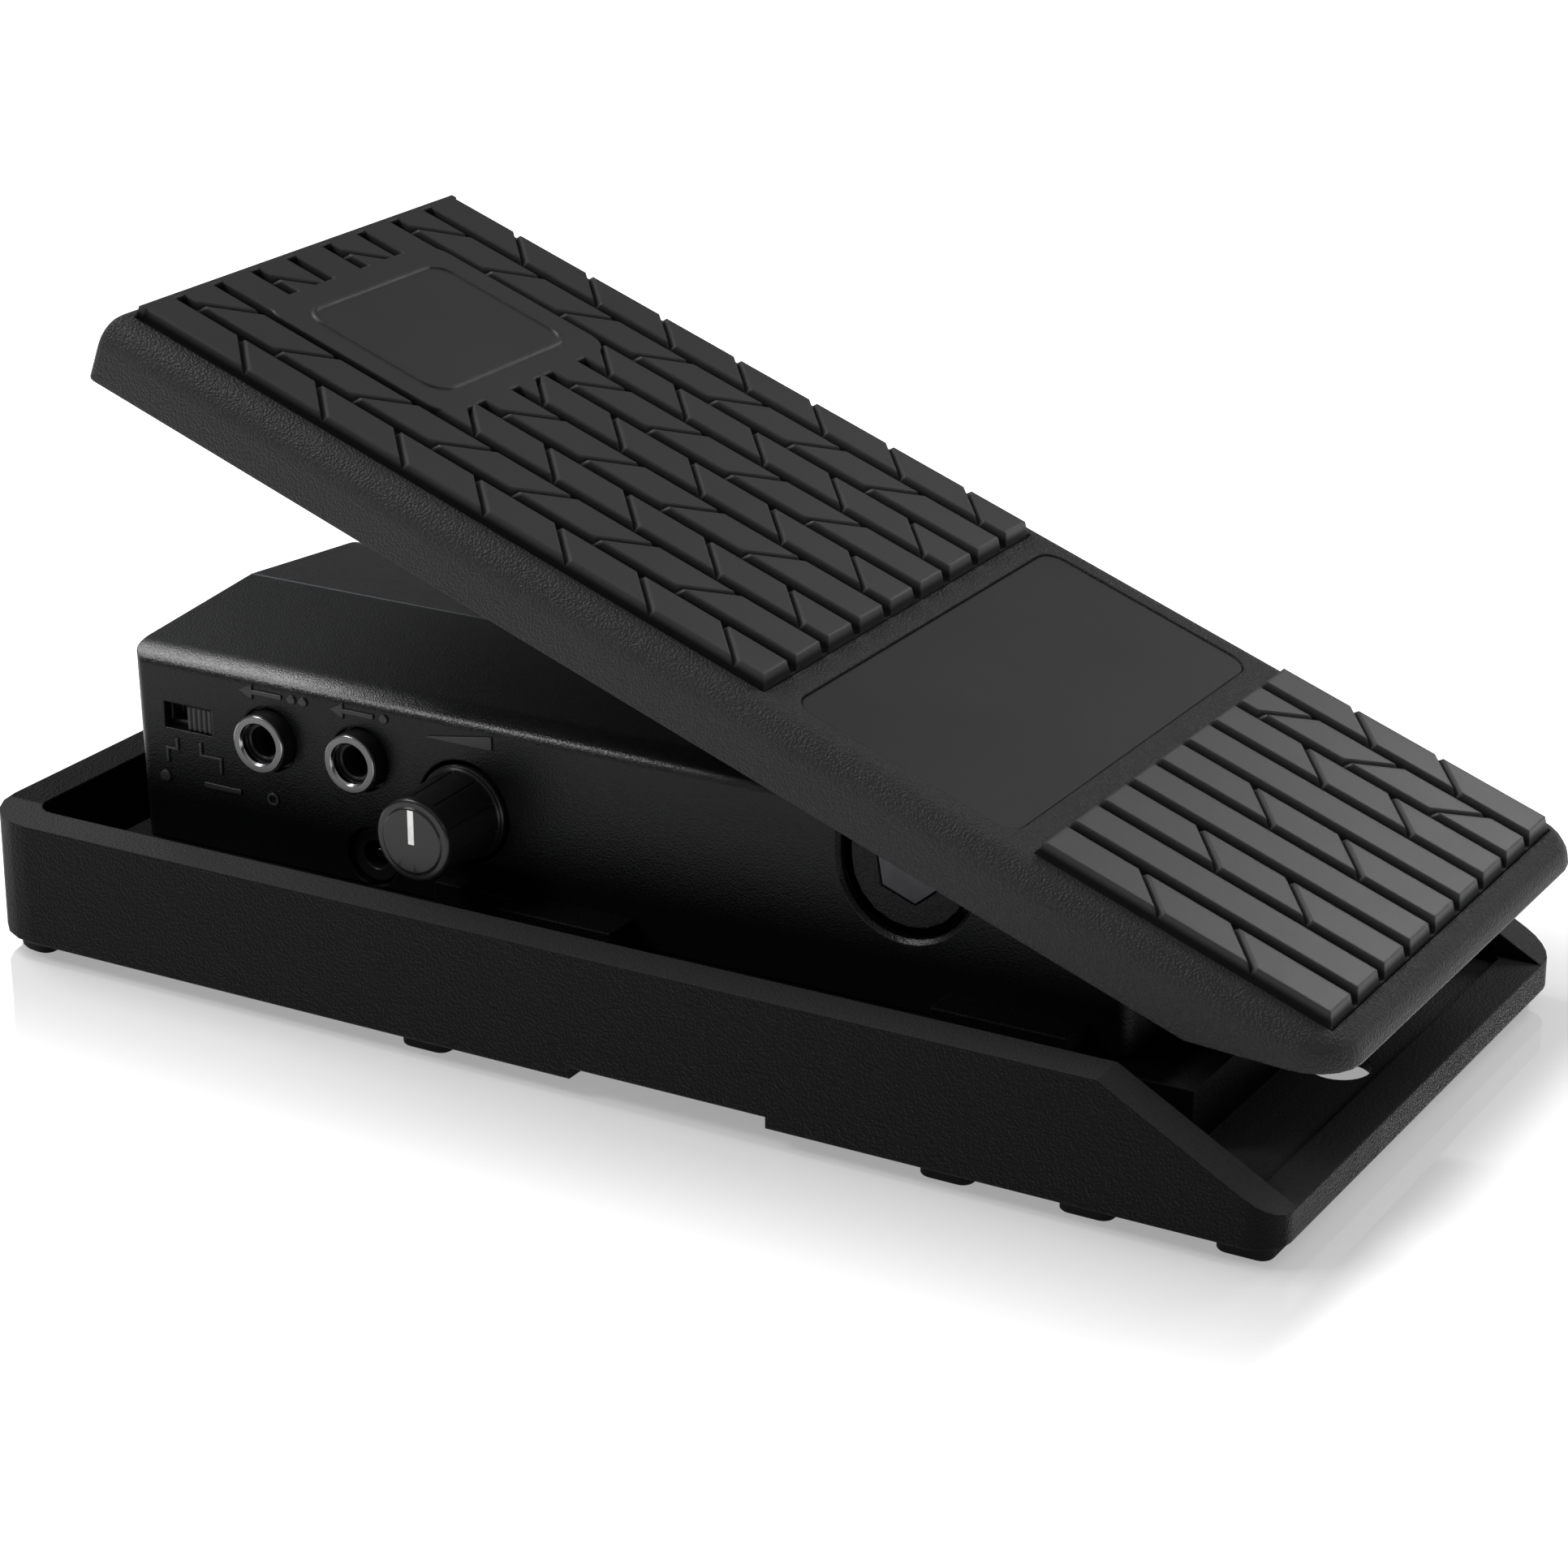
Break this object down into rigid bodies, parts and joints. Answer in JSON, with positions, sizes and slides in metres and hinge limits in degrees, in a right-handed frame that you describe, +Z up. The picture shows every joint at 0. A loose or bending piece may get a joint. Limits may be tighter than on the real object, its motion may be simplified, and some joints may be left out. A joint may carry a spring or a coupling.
{
  "type": "volume pedal",
  "caption": "Foot-operated volume pedal: a ribbed rocking treadle on a long black housing with side sockets, a knob and a slide switch, in a moulded tray on rubber feet.",
  "frame": {"origin": "on the floor under the middle of the pedal's overall length and width, with Z = 0 at the bottoms of the rubber feet", "axes": "+Z up, +Y towards the toe end, +X to the input side, so the output sockets, the knob and the switch face -X"},
  "size_m": [0.1386, 0.2968, 0.1377],
  "materials": {
    "tray_plastic": "fine leather-like grain, satin black",
    "housing_plastic": "smooth satin black",
    "treadle_plastic": "leather-like grain, satin charcoal",
    "tread_rubber": "fine matt charcoal rubber",
    "foot_rubber": "matt black rubber",
    "label_plastic": "smooth satin charcoal plate",
    "knob_plastic": "satin black",
    "pointer_white": "matt white inlay",
    "black_component": "moulded black component body",
    "nylon": "black nylon gear",
    "chrome": "bright nickel or chrome plate",
    "steel": "zinc-plated steel",
    "blackened_steel": "blackened steel",
    "board_laminate": "green glass-epoxy circuit board"
  },
  "bodies": {
    "base": {"base_tray": "tray_plastic", "foot_left_1": "foot_rubber", "foot_left_2": "foot_rubber", "foot_left_3": "foot_rubber", "foot_left_4": "foot_rubber", "foot_left_5": "foot_rubber", "foot_right_1": "foot_rubber", "foot_right_2": "foot_rubber", "foot_right_3": "foot_rubber", "foot_right_4": "foot_rubber", "foot_right_5": "foot_rubber", "housing_shell": "housing_plastic", "housing_screw_1": "steel", "housing_screw_2": "steel", "housing_screw_3": "steel", "housing_screw_4": "steel", "pivot_bracket": "steel", "bracket_screw_1": "steel", "bracket_screw_2": "steel", "pivot_sleeve": "steel", "pot_bracket": "steel", "pot_bracket_screw": "steel", "volume_pot_body": "black_component", "circuit_board": "board_laminate", "output_jack_1": "black_component", "output_jack_2": "black_component", "input_jack_1": "black_component", "input_jack_2": "black_component", "output_jack_ring_1": "chrome", "output_jack_ring_2": "chrome", "input_jack_ring_1": "chrome", "input_jack_ring_2": "chrome", "power_jack": "black_component", "power_jack_pin": "chrome", "min_volume_pot_body": "black_component", "mode_switch_body": "black_component"},
    "treadle": {"treadle_shell": "treadle_plastic", "toe_tread_pad": "tread_rubber", "heel_tread_pad": "tread_rubber", "label_plate": "label_plastic", "drive_sector": "nylon", "pivot_bolt": "blackened_steel", "pivot_nut": "blackened_steel", "sector_screw_1": "steel", "sector_screw_2": "steel", "toe_stop_pad_left": "foot_rubber", "toe_stop_pad_right": "foot_rubber", "heel_stop_pad_left": "foot_rubber", "heel_stop_pad_right": "foot_rubber"},
    "volume_control": {"drive_pinion": "nylon", "volume_pot_shaft": "steel"},
    "min_volume_control": {"min_volume_shaft": "steel", "min_volume_knob": "knob_plastic", "min_volume_pointer": "pointer_white"},
    "mode_switch": {"mode_switch_slider": "black_component"}
  },
  "joints": [
    {"name": "treadle_hinge", "type": "hinge", "parent": "base", "child": "treadle", "pos_m": [0, -0.05303, 0.049], "axis": [1, 0, 0], "range_deg": [-21.1, 0]},
    {"name": "volume_pot_turn", "type": "hinge", "parent": "base", "child": "volume_control", "pos_m": [0, 0.01297, 0.049], "axis": [1, 0, 0], "range_deg": [0, 211.5]},
    {"name": "min_volume_turn", "type": "hinge", "parent": "base", "child": "min_volume_control", "pos_m": [0, 0.04567, 0.041], "axis": [1, 0, 0], "range_deg": [-140, 140]},
    {"name": "mode_switch_slide", "type": "slide", "parent": "base", "child": "mode_switch", "axis": [0, 1, 0], "range_m": [0, 0.005]}
  ],
  "couplings": [
    {"joint": "volume_pot_turn", "follows": "treadle_hinge", "ratio": -10}
  ]
}
